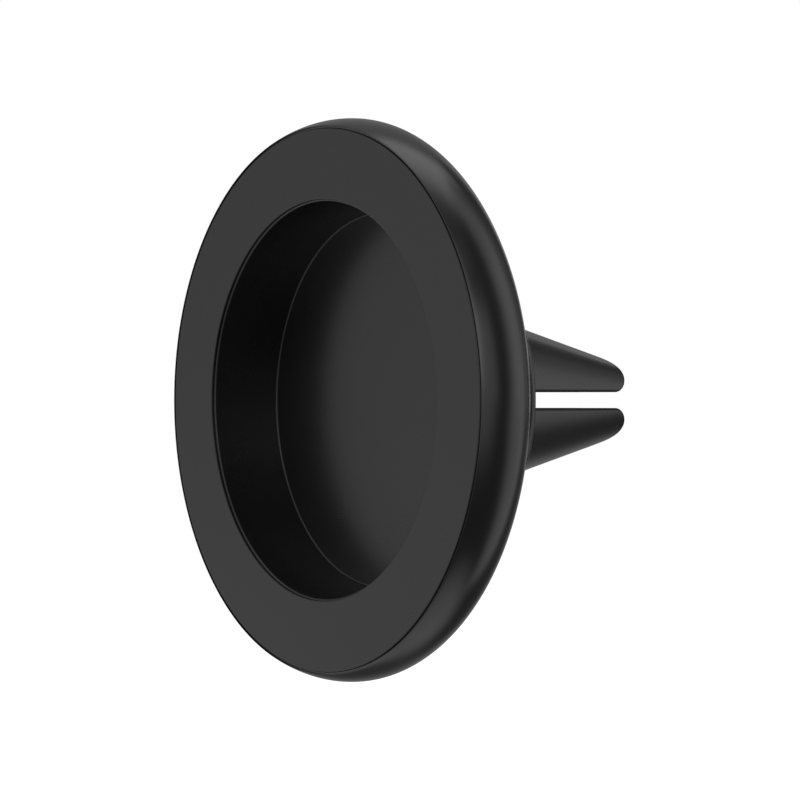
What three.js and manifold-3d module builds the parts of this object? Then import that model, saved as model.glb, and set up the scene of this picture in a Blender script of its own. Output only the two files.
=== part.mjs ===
// Magnetic car phone mount: a round head with a recess, swivelling on a split-cone vent clip.
// Every piece is turned about the Y axis. Sections are drawn as [radius, depth], where depth
// runs back from the plane of the face. The finished part has its origin at the recess floor.
import * as THREE from 'three';
import { mergeVertices, toCreasedNormals } from 'three/addons/utils/BufferGeometryUtils.js';
import Module from 'manifold-3d';

const wasm = await Module();
wasm.setup();

// Driving dimensions in millimetres and radians

const degree = Math.PI / 180;

// Face cup
const mouthRadius = 21.12;
const mouthStepWidth = 0.27;
const mouthStepDepth = 0.41;
const mouthEdgeRounding = 0.08;
const floorRadius = 20.2;
const floorFillet = 0.2;
const recessDepth = 7.9;
const cupWall = 1.18;
const cupFloor = 1.2;
const cupCorner = 3;
const plateThickness = 1.4;
const plateEdgeRounding = 0.2;

// Magnet ring
const magnetCount = 16;
const magnetWidth = 4;
const magnetThickness = 2.8;
const magnetSpacing = 1;
const magnetInnerClearance = 0.7;
const magnetSideClearance = 0.3;
const magnetFaceClearance = 0.2;
const locatingRibWidth = 0.4;
const locatingRibHeight = 1;
const yokeThickness = 1;
const yokeOverhang = 0.1;

// Body shell
const ledgeWidth = 1.43;
const seamWidth = 0.27;
const rimLip = 1;
const rimLipRounding = 0.12;
const bulgeDepth = 3.3;
const rimFrontDrop = 0.85;
const backWall = 2.28;
const backAngle = 54.6 * degree;
const backFillet = 2;
const shellWall = 1.6;
const cupClearance = 0.3;
const ledgeInset = 0.6;
const neckRadius = 16;
const neckFillet = 1.5;
const neckEdge = 0.2;
const bossWall = 2.8;
const bossHeight = 1.8;
const bossRibCount = 8;
const bossRibWidth = 1;

// Swivel
const boreRadius = 6.2;
const runningClearance = 0.2;
const boreLength = 3.5;
const springHeight = 0.7;
const springThickness = 0.25;
const springWidth = 2.2;
const springWaves = 3;
const springClearance = 0.05;
const washerThickness = 1;
const washerRadius = 9;
const screwHeadRadius = 3.8;
const screwHeadHeight = 1.5;
const screwHeadClearance = 0.3;
const screwRadius = 1.9;
const screwLength = 6;
const screwHoleClearance = 0.3;
const screwTipClearance = 0.3;
const screwEdge = 0.4;
const driveRadius = 1.2;
const driveDepth = 0.9;
const driveSides = 6;
const spindleEdge = 0.4;
const glideInnerRadius = 9.5;
const glideWidth = 4;
const glideSeat = 0.9;
const glideClearance = 0.3;
const glideGap = 0.05;
const swivelSeam = 0.3;

// Vent clip
const flangeInset = 0.4;
const flangeThickness = 0.9;
const flangeRearRounding = 0.6;
const flangeFrontEdge = 0.2;
const coneRootRadius = 10.28;
const coneTaper = 15.54 * degree;
const collarHeight = 2.5;
const prongReach = 21;
const slotNarrow = 1.74;
const slotWide = 2.2;
const noseRounding = 0.2;
const slotMouthRounding = 2.3;
const bootWall = 1;
const bootGap = 0.3;
const bootSeam = 0.3;
const coreSetback = 4.2;
const coreRootDepth = 1.9;
const coreRounding = 0.65;

// Depth by which a rib is sunk into the wall it grows from
const ribRoot = 0.4;

// Roundness of the turned pieces, and how far the facets of an arc may lie off the true curve
const bodySides = 60;
const hubSides = 48;
const smallSides = 32;
const arcTolerance = 0.02;
const creaseAngle = 28 * degree;
const weldTolerance = 1e-4;

// The four prongs, by the sides of X and Z that they lie on
const quadrants = [[1, 1], [-1, 1], [-1, -1], [1, -1]];

// Sizes that follow from the driving dimensions

const cupOuterRadius = mouthRadius + cupWall;
const cupBackDepth = recessDepth + cupFloor;
const magnetInnerRadius = cupOuterRadius + magnetInnerClearance;
const magnetOuterRadius = magnetInnerRadius + magnetWidth;
const magnetDepth = plateThickness + magnetFaceClearance;
const yokeDepth = magnetDepth + magnetThickness;
const ledgeDepth = yokeDepth + yokeThickness;
const channelRadius = magnetOuterRadius + magnetSideClearance;
const plateRadius = channelRadius + ledgeWidth;
const seatRadius = plateRadius + seamWidth;
const bodyRadius = seatRadius + rimLip;
const rimFrontArc = (bulgeDepth ** 2 + rimFrontDrop ** 2) / (2 * rimFrontDrop);
const rimRearArc = ledgeDepth + backWall - bulgeDepth;
const washerDepth = cupBackDepth + screwHeadClearance + screwHeadHeight;
const springDepth = washerDepth + washerThickness;
const bossDepth = springDepth + springHeight;
const bossRadius = boreRadius + bossWall;
const rearWallDepth = bossDepth + bossHeight;
const neckDepth = bossDepth + boreLength;
const glideDepth = neckDepth - glideSeat;
const flangeDepth = neckDepth + swivelSeam;
const flangeRadius = neckRadius - flangeInset;
const flangeBack = flangeDepth + flangeThickness;
const spindleRadius = boreRadius - runningClearance;
const collarDepth = flangeBack + collarHeight;
const bootDepth = collarDepth + bootSeam;
const tipDepth = flangeBack + prongReach;
const coreRoot = collarDepth - coreRootDepth;
const coreTip = tipDepth - coreSetback;
const screwHoleRadius = screwRadius + screwHoleClearance;
const screwTipDepth = washerDepth + screwLength;

// Points along an arc of the section, both ends included, as few as the tolerance allows.
function arc([radius, depth], size, from, to) {
  const widestStep = 2 * Math.acos(1 - arcTolerance / size);
  const steps = Math.ceil(Math.abs(to - from) / widestStep);
  const points = [];
  for (let step = 0; step <= steps; step += 1) {
    const angle = from + ((to - from) * step) / steps;
    points.push([radius + size * Math.cos(angle), depth + size * Math.sin(angle)]);
  }
  return points;
}

// The solid inside a closed surface, ready to be joined or cut.
function solid(geometry) {
  geometry.deleteAttribute('normal');
  geometry.deleteAttribute('uv');
  const merged = mergeVertices(geometry, weldTolerance);
  const triangles = [];
  for (let i = 0; i < merged.index.count; i += 3) {
    const corners = [0, 1, 2].map((k) => merged.index.getX(i + k));
    if (new Set(corners).size === 3) triangles.push(...corners);
  }
  return new wasm.Manifold(new wasm.Mesh({
    numProp: 3,
    vertProperties: merged.attributes.position.array,
    triVerts: Uint32Array.from(triangles),
  }));
}

// A section turned about the Y axis. It runs anticlockwise, and closes on itself or on the axis.
function revolve(section, sides) {
  const outline = section[0][0] > 0 ? [...section, section[0]] : section;
  const points = outline.map(([radius, depth]) => new THREE.Vector2(radius, depth));
  return solid(new THREE.LatheGeometry(points, sides));
}

// A plain ring or washer.
function ring(inner, outer, front, back, sides) {
  return revolve([[inner, front], [outer, front], [outer, back], [inner, back]], sides);
}

// An outline in the plane of the first two axes, given a thickness centred on the third.
function slab(outline, thickness) {
  const shape = new THREE.Shape(outline.map(([u, v]) => new THREE.Vector2(u, v)));
  const geometry = new THREE.ExtrudeGeometry(shape, { depth: thickness, bevelEnabled: false });
  return geometry.translate(0, 0, -thickness / 2);
}

// The named mesh of a finished solid.
function mesh(name, body, material) {
  const { vertProperties, triVerts } = body.getMesh();
  const geometry = new THREE.BufferGeometry();
  geometry.setAttribute('position', new THREE.BufferAttribute(vertProperties, 3));
  geometry.setIndex(new THREE.BufferAttribute(triVerts, 1));
  const part = new THREE.Mesh(toCreasedNormals(geometry, creaseAngle), material);
  part.name = name;
  return part;
}

// Where the straight back of the shell lies: the distance of a line, square to backAngle, that
// clears the rounded rear corner of the cup by the given amount.
const backNormal = [Math.cos(backAngle), Math.sin(backAngle)];
const cornerCentre = [cupOuterRadius - cupCorner, cupBackDepth - cupCorner];
function backLine(offset) {
  return backNormal[0] * cornerCentre[0] + backNormal[1] * cornerCentre[1] + cupCorner + offset;
}
const innerLine = backLine(cupClearance);
const outerLine = backLine(cupClearance + shellWall);

function radiusOnLine(line, depth) {
  return (line - backNormal[1] * depth) / backNormal[0];
}

function depthOnLine(line, radius) {
  return (line - backNormal[0] * radius) / backNormal[1];
}

// The flat annular face, the narrow step at the mouth and the recess, in one moulding. Low ribs on
// the back of the annulus stand between the magnets.
function faceCup() {
  const draft = Math.atan2(mouthRadius - floorRadius, recessDepth - mouthStepDepth);
  const stepRadius = mouthRadius + mouthStepWidth;
  const mouthEdge = [stepRadius + mouthEdgeRounding, mouthEdgeRounding];
  const section = [
    [0, recessDepth],
    ...arc([floorRadius - floorFillet, recessDepth - floorFillet], floorFillet, 90 * degree, draft),
    [mouthRadius, mouthStepDepth],
    [stepRadius, mouthStepDepth],
    ...arc(mouthEdge, mouthEdgeRounding, 180 * degree, 270 * degree),
    ...arc([plateRadius - plateEdgeRounding, plateEdgeRounding], plateEdgeRounding, -90 * degree, 0),
    [plateRadius, plateThickness],
    [cupOuterRadius, plateThickness],
    ...arc(cornerCentre, cupCorner, 0, 90 * degree),
    [0, cupBackDepth],
  ];
  let cup = revolve(section, bodySides);
  for (let index = 0; index < magnetCount; index += 1) {
    const rib = new THREE.BoxGeometry(magnetWidth, locatingRibHeight + ribRoot, locatingRibWidth);
    rib.translate(magnetInnerRadius + magnetWidth / 2, plateThickness + (locatingRibHeight - ribRoot) / 2, 0);
    rib.rotateY(((index + 0.5) * 2 * Math.PI) / magnetCount);
    cup = cup.add(solid(rib));
  }
  return cup;
}

// One arc magnet, centred on the X axis.
function magnet() {
  const halfAngle = Math.PI / magnetCount - magnetSpacing / (2 * magnetInnerRadius);
  const outline = [
    ...arc([0, 0], magnetOuterRadius, -halfAngle, halfAngle),
    ...arc([0, 0], magnetInnerRadius, halfAngle, -halfAngle),
  ];
  const tile = slab(outline, magnetThickness).rotateX(90 * degree);
  return solid(tile.translate(0, magnetDepth + magnetThickness / 2, 0));
}

// The rim, the back and the neck, with the seat for the face cup, the channel for the magnets,
// the ribbed bearing boss and the seat for the glide ring.
function bodyShell() {
  const frontCentre = [bodyRadius - rimFrontArc, bulgeDepth];
  const rearCentre = [bodyRadius - rimRearArc, bulgeDepth];
  const lipReach = rimFrontArc - rimLipRounding;
  const lipAngle = -Math.acos((seatRadius + rimLipRounding - frontCentre[0]) / lipReach);
  const lipCentre = [seatRadius + rimLipRounding, bulgeDepth + lipReach * Math.sin(lipAngle)];
  const reach = backNormal[0] * rearCentre[0] + backNormal[1] * rearCentre[1];
  const filletAngle = backAngle + Math.acos((outerLine + backFillet - reach) / (rimRearArc + backFillet));
  const filletCentre = [
    rearCentre[0] + (rimRearArc + backFillet) * Math.cos(filletAngle),
    rearCentre[1] + (rimRearArc + backFillet) * Math.sin(filletAngle),
  ];
  const neckRoot = neckRadius + neckFillet;
  const neckFilletCentre = [neckRoot, depthOnLine(outerLine + neckFillet, neckRoot)];
  const glideOuter = glideInnerRadius + glideWidth + glideClearance;
  const ledgeInner = magnetInnerRadius + ledgeInset;
  const section = [
    ...arc(lipCentre, rimLipRounding, -Math.PI, lipAngle),
    ...arc(frontCentre, rimFrontArc, lipAngle, 0).slice(1),
    ...arc(rearCentre, rimRearArc, 0, filletAngle).slice(1),
    ...arc(filletCentre, backFillet, filletAngle + Math.PI, backAngle + Math.PI).slice(1),
    ...arc(neckFilletCentre, neckFillet, backAngle + Math.PI, Math.PI),
    [neckRadius, neckDepth - neckEdge],
    [neckRadius - neckEdge, neckDepth],
    [glideOuter, neckDepth],
    [glideOuter, glideDepth],
    [glideInnerRadius - glideClearance, glideDepth],
    [glideInnerRadius - glideClearance, neckDepth],
    [boreRadius, neckDepth],
    [boreRadius, bossDepth],
    [bossRadius, bossDepth],
    [bossRadius, rearWallDepth],
    [radiusOnLine(innerLine, rearWallDepth), rearWallDepth],
    [ledgeInner, depthOnLine(innerLine, ledgeInner)],
    [ledgeInner, ledgeDepth],
    [channelRadius, ledgeDepth],
    [channelRadius, plateThickness],
    [seatRadius, plateThickness],
  ];
  let shell = revolve(section, bodySides);
  const ribOutline = [
    [bossRadius - ribRoot, rearWallDepth + ribRoot],
    [bossRadius - ribRoot, bossDepth],
    [radiusOnLine(innerLine, bossDepth) + ribRoot, bossDepth],
    [radiusOnLine(innerLine, rearWallDepth) + ribRoot, rearWallDepth],
    [radiusOnLine(innerLine, rearWallDepth), rearWallDepth + ribRoot],
  ];
  for (let index = 0; index < bossRibCount; index += 1) {
    shell = shell.add(solid(slab(ribOutline, bossRibWidth).rotateY((index * 2 * Math.PI) / bossRibCount)));
  }
  return shell;
}

// Steel ring behind the magnets.
function yokeRing() {
  const inner = magnetInnerRadius - yokeOverhang;
  const outer = magnetOuterRadius + yokeOverhang;
  return ring(inner, outer, yokeDepth, ledgeDepth, bodySides);
}

// Low-friction ring that carries the head on the flange.
function glideRing() {
  return ring(glideInnerRadius, glideInnerRadius + glideWidth, glideDepth, flangeDepth - glideGap, hubSides);
}

// Wave washer: a flat strip ring bent into evenly spaced crests and troughs.
function waveSpring() {
  const inner = boreRadius + runningClearance;
  const middle = springDepth + springHeight / 2;
  const swing = springHeight / 2 - springThickness / 2 - springClearance;
  const geometry = new THREE.LatheGeometry([
    [inner, -springThickness / 2],
    [inner + springWidth, -springThickness / 2],
    [inner + springWidth, springThickness / 2],
    [inner, springThickness / 2],
    [inner, -springThickness / 2],
  ].map(([radius, depth]) => new THREE.Vector2(radius, depth)), hubSides);
  const places = geometry.attributes.position;
  for (let i = 0; i < places.count; i += 1) {
    const angle = Math.atan2(places.getX(i), places.getZ(i));
    places.setY(i, middle + places.getY(i) + swing * Math.cos(springWaves * angle));
  }
  return solid(geometry);
}

// Steel washer that the screw clamps to the end of the spindle.
function retainingWasher() {
  return ring(screwHoleRadius, washerRadius, washerDepth, springDepth, hubSides);
}

// Low-head screw with a hexagon drive.
function swivelScrew() {
  const headDepth = washerDepth - screwHeadHeight;
  const body = revolve([
    [0, headDepth],
    [screwHeadRadius - screwEdge, headDepth],
    [screwHeadRadius, headDepth + screwEdge],
    [screwHeadRadius, washerDepth],
    [screwRadius, washerDepth],
    [screwRadius, screwTipDepth - screwEdge],
    [screwRadius - screwEdge, screwTipDepth],
    [0, screwTipDepth],
  ], smallSides);
  const drive = new THREE.CylinderGeometry(driveRadius, driveRadius, 2 * driveDepth, driveSides);
  return body.subtract(solid(drive.translate(0, headDepth, 0)));
}

// The cone that the four prongs are cut from, drawn in by an inset and rounded at the nose.
function cone(inset, front, back, nose, sides) {
  const drop = inset / Math.cos(coneTaper);
  const radiusAt = (depth) => coneRootRadius - (depth - flangeBack) * Math.tan(coneTaper) - drop;
  const noseCentre = back - nose;
  const noseRadius = radiusAt(noseCentre) - nose / Math.cos(coneTaper);
  return revolve([
    [0, front],
    [radiusAt(front), front],
    ...arc([noseRadius, noseCentre], nose, coneTaper, 90 * degree),
    [0, back],
  ], sides);
}

// Everything on one side of a slot face, in the plane of a transverse axis and depth, with the
// far corner rounded over so that the slot opens into a mouth.
function slotSide(face, front, back, mouth) {
  return [
    [face, front],
    [coneRootRadius, front],
    [coneRootRadius, back],
    ...arc([face + mouth, back - mouth], mouth, 90 * degree, 180 * degree),
  ];
}

// One quarter of the cone, on the given sides of the two slots.
function prongQuarter({ inset, front, back, nose, mouth, signX, signZ }) {
  const quarter = cone(inset, front, back, nose, smallSides);
  const across = 2 * coneRootRadius;
  const faceX = slotWide / 2 + inset;
  const faceZ = slotNarrow / 2 + inset;
  const keepX = solid(slab(slotSide(faceX, front, back, mouth), across));
  const keepZ = solid(slab(slotSide(faceZ, front, back, mouth), across).rotateY(-90 * degree));
  return quarter.intersect(keepX).intersect(keepZ).scale([signX, 1, signZ]);
}

// Rubber skin of a prong, open at the root.
function prongBoot(signX, signZ) {
  const skin = prongQuarter({
    inset: 0,
    front: bootDepth,
    back: tipDepth,
    nose: noseRounding,
    mouth: slotMouthRounding,
    signX,
    signZ,
  });
  const cavity = prongQuarter({
    inset: bootWall,
    front: bootDepth - bootWall,
    back: coreTip + bootGap,
    nose: coreRounding,
    mouth: coreRounding,
    signX,
    signZ,
  });
  return skin.subtract(cavity);
}

// Stiff core of a prong, rooted in the hub.
function prongCore(signX, signZ) {
  return prongQuarter({
    inset: bootWall + bootGap,
    front: coreRoot,
    back: coreTip,
    nose: coreRounding,
    mouth: coreRounding,
    signX,
    signZ,
  });
}

// Spindle, flange and root collar, with a blind screw hole and four prong sockets.
function clipHub() {
  const rearCorner = [flangeRadius - flangeRearRounding, flangeBack - flangeRearRounding];
  let hub = revolve([
    [0, screwTipDepth + screwTipClearance],
    [screwHoleRadius, screwTipDepth + screwTipClearance],
    [screwHoleRadius, springDepth],
    [spindleRadius - spindleEdge, springDepth],
    [spindleRadius, springDepth + spindleEdge],
    [spindleRadius, flangeDepth],
    [flangeRadius - flangeFrontEdge, flangeDepth],
    [flangeRadius, flangeDepth + flangeFrontEdge],
    ...arc(rearCorner, flangeRearRounding, 0, 90 * degree),
    [coneRootRadius, flangeBack],
    [coneRootRadius - collarHeight * Math.tan(coneTaper), collarDepth],
    [0, collarDepth],
  ], hubSides);
  for (const [signX, signZ] of quadrants) {
    hub = hub.subtract(prongQuarter({
      inset: bootWall,
      front: coreRoot - bootGap,
      back: collarDepth + bootWall,
      nose: bootGap,
      mouth: bootGap,
      signX,
      signZ,
    }));
  }
  return hub;
}

// Finishes

const satinBlack = new THREE.MeshStandardMaterial({ color: 0x26262a, roughness: 0.5, metalness: 0 });
const faceBlack = new THREE.MeshStandardMaterial({ color: 0x2c2c2f, roughness: 0.65, metalness: 0 });
const rubberBlack = new THREE.MeshStandardMaterial({ color: 0x242427, roughness: 0.55, metalness: 0 });
const nylonGrey = new THREE.MeshStandardMaterial({ color: 0x3a3a3c, roughness: 0.6, metalness: 0 });
const whiteAcetal = new THREE.MeshStandardMaterial({ color: 0xe8e6df, roughness: 0.4, metalness: 0 });
const nickel = new THREE.MeshStandardMaterial({ color: 0xb9b9bd, roughness: 0.25, metalness: 1 });
const zincSteel = new THREE.MeshStandardMaterial({ color: 0x9a9ca0, roughness: 0.4, metalness: 1 });

// Assembly

const head = new THREE.Group();
head.add(mesh('face_cup', faceCup(), faceBlack));
head.add(mesh('body_shell', bodyShell(), satinBlack));
const magnetBody = magnet();
for (let index = 0; index < magnetCount; index += 1) {
  const piece = mesh(`magnet_${String(index + 1).padStart(2, '0')}`, magnetBody, nickel);
  piece.rotation.y = (index * 2 * Math.PI) / magnetCount;
  head.add(piece);
}
head.add(mesh('yoke_ring', yokeRing(), zincSteel));
head.add(mesh('glide_ring', glideRing(), whiteAcetal));

const clip = new THREE.Group();
clip.add(mesh('clip_hub', clipHub(), satinBlack));
clip.add(mesh('wave_spring', waveSpring(), zincSteel));
clip.add(mesh('retaining_washer', retainingWasher(), zincSteel));
clip.add(mesh('swivel_screw', swivelScrew(), zincSteel));
quadrants.forEach(([signX, signZ], index) => {
  clip.add(mesh(`prong_core_${index + 1}`, prongCore(signX, signZ), nylonGrey));
  clip.add(mesh(`prong_boot_${index + 1}`, prongBoot(signX, signZ), rubberBlack));
});

const group = new THREE.Group();
group.add(head, clip);
group.position.y = -recessDepth;

export default group;
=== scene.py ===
# Car phone mount: a round black head with a recess, swivelling on a split-cone vent clip.
# The swivel axis is Y, which runs from the phone towards the vent. Turned pieces are drawn as
# sections of (radius, y), in metres from the middle of the recess floor.
import math

import bmesh
import bpy
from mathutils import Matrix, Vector


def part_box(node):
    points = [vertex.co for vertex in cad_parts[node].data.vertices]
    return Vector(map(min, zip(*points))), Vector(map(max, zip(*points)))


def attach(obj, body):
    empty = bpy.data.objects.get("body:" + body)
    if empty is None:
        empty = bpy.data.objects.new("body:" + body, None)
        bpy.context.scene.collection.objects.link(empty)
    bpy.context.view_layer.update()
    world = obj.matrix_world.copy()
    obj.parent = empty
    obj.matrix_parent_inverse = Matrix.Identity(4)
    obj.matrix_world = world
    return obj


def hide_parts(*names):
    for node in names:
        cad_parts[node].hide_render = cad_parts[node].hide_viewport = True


bl_info = {
    "name": "Car Phone Mount",
    "version": (1, 0, 0),
    "blender": (4, 5, 0),
    "location": "View3D > Sidebar > Phone Mount",
    "description": "Builds a round magnetic phone mount on a split-cone vent clip",
    "category": "Object",
}

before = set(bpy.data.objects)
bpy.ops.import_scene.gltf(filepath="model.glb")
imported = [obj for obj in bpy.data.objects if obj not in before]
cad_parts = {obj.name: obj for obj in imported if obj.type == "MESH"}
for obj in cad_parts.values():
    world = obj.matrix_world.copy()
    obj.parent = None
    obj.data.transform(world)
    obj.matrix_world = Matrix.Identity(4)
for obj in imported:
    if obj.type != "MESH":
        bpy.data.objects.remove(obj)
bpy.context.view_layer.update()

TURN = 2 * math.pi
HALF_TURN = math.pi
QUARTER_TURN = math.pi / 2

# Fineness of the meshes: sides round an axis, and steps along a form
BODY_SIDES = 288
SCREW_SIDES = 96
HEXAGON_SIDES = 6
THREAD_STEPS = 14
TILE_STEPS = 16
TILE_EDGE_STEPS = 4
PRONG_CORNER_STEPS = 6
PRONG_EDGE_STEPS = 7
PRONG_ROUND_STEPS = 22
PRONG_TIP_STEPS = 44
PRONG_TIP_SEARCHES = 40

# In metres: how far an arc may stray from its circle, the shortest straight stretch that is
# supported, how far from its ends its points of support lie, and how near points are welded
ARC_TOLERANCE = 1.2e-6
STRAIGHT_RUN = 0.0004
SUPPORT = 0.00003
WELD = 1e-8

# Angle between two faces above which their edge is sharp
SHARP_ANGLE = math.radians(32)

# Parts of a prong's flat faces, and of its length, at which its mesh has points
FLAT_PARTS = (0.03, 0.5, 0.97)
LENGTH_PARTS = (0.25, 0.5, 0.75)

# How far a rib sinks into what it joins, and the gaps between pieces, in metres
OVERLAP = 0.0004
RUNNING_GAP = 0.00005
SCREW_ROOM = 0.0003

# The thinnest section of a prong, and the share of a section's depth that a rounding may take
THINNEST_TIP = 0.00002
ROUNDING_SHARE = 0.35

# Slope of the thread's flanks, in thread depths a pitch, and how many depths the shank narrows at its end
THREAD_FLANK = 2.6
THREAD_END = 0.5

# How far the dull finish and painted shade of a slot's face reach round its edge, in metres
DULL_AND_SHADED_EDGE = 0.00026

# Width of the camera's sensor in millimetres, and how near and far it sees in metres
SENSOR_WIDTH = 36
NEAREST = 0.01
FARTHEST = 10

# Distance of the lamps in metres, and watts a square metre for one as bright as a white background
LAMP_DISTANCE = 1.0
WATTS_FOR_WHITE = 4

# The four prongs, by the sides of X and Z that they lie on
QUADRANTS = ((1, 1), (-1, 1), (-1, -1), (1, -1))


# Places read from the frame

def front_of(node):
    """Lowest y of a node, where it faces the phone."""
    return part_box(node)[0].y


def back_of(node):
    """Highest y of a node, where it faces the vent."""
    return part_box(node)[1].y


def reach_of(node):
    """Outer radius of a turned node."""
    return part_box(node)[1].z


def nodes_named(start):
    """Names of the repeated nodes that start with these letters, in order."""
    return sorted(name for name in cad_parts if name.startswith(start))


# Half widths of the two slots, from where the first prong's faces lie
SLOT_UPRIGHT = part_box("prong_boot_1")[0].x
SLOT_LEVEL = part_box("prong_boot_1")[0].z


# Kinds of property

def length(label, description, default):
    """A size in metres."""
    return bpy.props.FloatProperty(
        name=label, description=description, default=default, min=0, precision=5,
        subtype="DISTANCE", unit="LENGTH",
    )


def place(label, description, default):
    """A coordinate in metres."""
    return bpy.props.FloatProperty(
        name=label, description=description, default=default, precision=5, subtype="DISTANCE", unit="LENGTH",
    )


def angle(label, description, default):
    """An angle, whose default is told in degrees."""
    return bpy.props.FloatProperty(
        name=label, description=description, default=math.radians(default), subtype="ANGLE", unit="ROTATION",
    )


def shift(label, description, default):
    """A share of the picture's width."""
    return bpy.props.FloatProperty(name=label, description=description, default=default, precision=6)


def count(label, description, default):
    """A whole number from 1 up."""
    return bpy.props.IntProperty(name=label, description=description, default=default, min=1)


def share(label, description, default):
    """A number from 0 to 1."""
    return bpy.props.FloatProperty(
        name=label, description=description, default=default, min=0, max=1, subtype="FACTOR",
    )


def level(label, description, default):
    """A number from 0 up."""
    return bpy.props.FloatProperty(name=label, description=description, default=default, min=0)


def colour(label, description, default):
    """A colour, as its three linear channels."""
    return bpy.props.FloatVectorProperty(
        name=label, description=description, default=default, size=3, min=0, max=1, subtype="COLOR",
    )


class MOUNT_PG_face(bpy.types.PropertyGroup):
    """Sizes of the moulding that meets the phone."""

    front: place("Face", "Place of the flat face along the swivel axis", front_of("face_cup"))
    back: place("Back", "Place of the back of the recess floor", back_of("face_cup"))
    plate_radius: length("Plate Radius", "Outer radius of the flat face", 0.02887)
    plate: length("Plate", "Thickness of the flat face", 0.0014)
    plate_edge: length("Plate Edge", "Rounding of the outer edge of the face", 0.00015)
    mouth_radius: length("Mouth Radius", "Radius of the recess at the step in its mouth", 0.02108)
    step_width: length("Step Width", "Width of the step in the mouth", 0.00022)
    step_depth: length("Step Depth", "Depth of the step below the face", 0.0003)
    mouth_edge: length("Mouth Edge", "Rounding of the inner edge of the face", 0.00012)
    step_edge: length("Step Edge", "Rounding of the edge of the step", 0.0002)
    floor_radius: length("Floor Radius", "Radius of the recess at its floor", 0.0202)
    floor_fillet: length("Floor Fillet", "Fillet between floor and wall", 0.0002)
    wall: length("Wall", "Wall round the recess", 0.00118)
    corner: length("Corner", "Rounding of the rear corner", 0.003)


class MOUNT_PG_magnets(bpy.types.PropertyGroup):
    """Sizes of the magnet ring and of the steel ring behind it."""

    front: place("Front", "Place of the front of the magnets", front_of("magnet_01"))
    back: place("Back", "Place of the back of the magnets", back_of("magnet_01"))
    number: count("Number", "Magnets round the ring", len(nodes_named("magnet_")))
    inner_radius: length("Inner Radius", "Inner radius of the magnet ring", 0.023)
    width: length("Width", "Width of a magnet across the ring", 0.004)
    spacing: length("Spacing", "Space between two magnets at the inner radius", 0.001)
    edge: length("Edge", "Rounding of a magnet's edges", 0.00022)
    rib_width: length("Rib Width", "Width of the ribs between the magnets", 0.0004)
    rib_height: length("Rib Height", "Height of the ribs between the magnets", 0.001)
    yoke_edge: length("Yoke Edge", "Chamfer of the steel ring", 0.00012)


class MOUNT_PG_shell(bpy.types.PropertyGroup):
    """Sizes of the rim, the back, the neck and the bearing boss."""

    radius: length("Radius", "Radius of the rim at its widest", reach_of("body_shell"))
    neck_end: place("Neck End", "Place of the end of the neck", back_of("body_shell"))
    groove: length("Groove", "Width of the shadow groove between the face and the rim", 0.00019)
    groove_depth: length("Groove Depth", "Depth of that groove below the face", 0.00026)
    seam: length("Seam", "Gap between the face and the shell below the groove", 0.00002)
    lip_rounding: length("Lip Rounding", "Rounding of the rim beside the groove", 0.00004)
    bulge: length("Bulge", "Depth of the widest circle behind the face", 0.0033)
    front_drop: length("Front Drop", "How far the rim draws in from there to the face", 0.00089)
    back_wall: length("Back Wall", "Wall behind the magnet channel", 0.00228)
    back_angle: angle("Back Angle", "Angle of the straight back", 54.6)
    back_fillet: length("Back Fillet", "Fillet between rim and back", 0.002)
    wall: length("Wall", "Wall of the straight back", 0.0016)
    cup_clearance: length("Cup Clearance", "Room round the recess moulding", 0.0003)
    ledge: length("Ledge", "Ledge that the face rests on", 0.00143)
    ledge_inset: length("Ledge Inset", "Inner edge of the magnet shelf from the magnets", 0.0006)
    neck_radius: length("Neck Radius", "Radius of the neck", 0.016)
    neck_fillet: length("Neck Fillet", "Fillet between back and neck", 0.0015)
    neck_edge: length("Neck Edge", "Rounding of the end of the neck", 0.0002)
    bore_radius: length("Bore Radius", "Radius of the bearing bore", 0.0062)
    boss_wall: length("Boss Wall", "Wall of the bearing boss", 0.0028)
    boss_height: length("Boss Height", "Height of the boss inside the shell", 0.0018)
    boss_ribs: count("Boss Ribs", "Ribs between the boss and the back", 8)
    boss_rib_width: length("Boss Rib Width", "Width of a boss rib", 0.001)


class MOUNT_PG_swivel(bpy.types.PropertyGroup):
    """Sizes of the pieces that hold the head on the spindle."""

    spring_inner: length("Spring Inner Radius", "Inner radius of the wave spring", 0.0064)
    spring_outer: length("Spring Outer Radius", "Outer radius of the wave spring", reach_of("wave_spring"))
    spring_strip: length("Spring Strip", "Thickness of the spring strip", 0.00025)
    spring_edge: length("Spring Edge", "Rounding of the spring strip", 0.0000625)
    spring_waves: count("Spring Waves", "Crests round the spring", 3)
    washer_radius: length("Washer Radius", "Outer radius of the clamp washer", reach_of("retaining_washer"))
    washer_edge: length("Washer Edge", "Rounding of the clamp washer", 0.00018)
    hole_radius: length("Hole Radius", "Radius of the screw hole", 0.0022)
    head_radius: length("Head Radius", "Radius of the screw head", reach_of("swivel_screw"))
    head_edge: length("Head Edge", "Rounding of the screw head", 0.0004)
    shank_radius: length("Shank Radius", "Outer radius of the thread", 0.0019)
    thread_pitch: length("Thread Pitch", "Pitch of the thread", 0.0007)
    thread_depth: length("Thread Depth", "Depth of the thread", 0.0003)
    drive_radius: length("Drive Radius", "Corner radius of the hexagon drive", 0.0012)
    drive_depth: length("Drive Depth", "Depth of the hexagon drive", 0.0009)
    glide_inner: length("Glide Inner Radius", "Inner radius of the glide washer", 0.0095)
    glide_outer: length("Glide Outer Radius", "Outer radius of the glide washer", reach_of("glide_ring"))
    glide_edge: length("Glide Edge", "Rounding of the glide washer", 0.00012)
    glide_clearance: length("Glide Clearance", "Room beside the glide washer in its seat", 0.0003)


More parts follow.
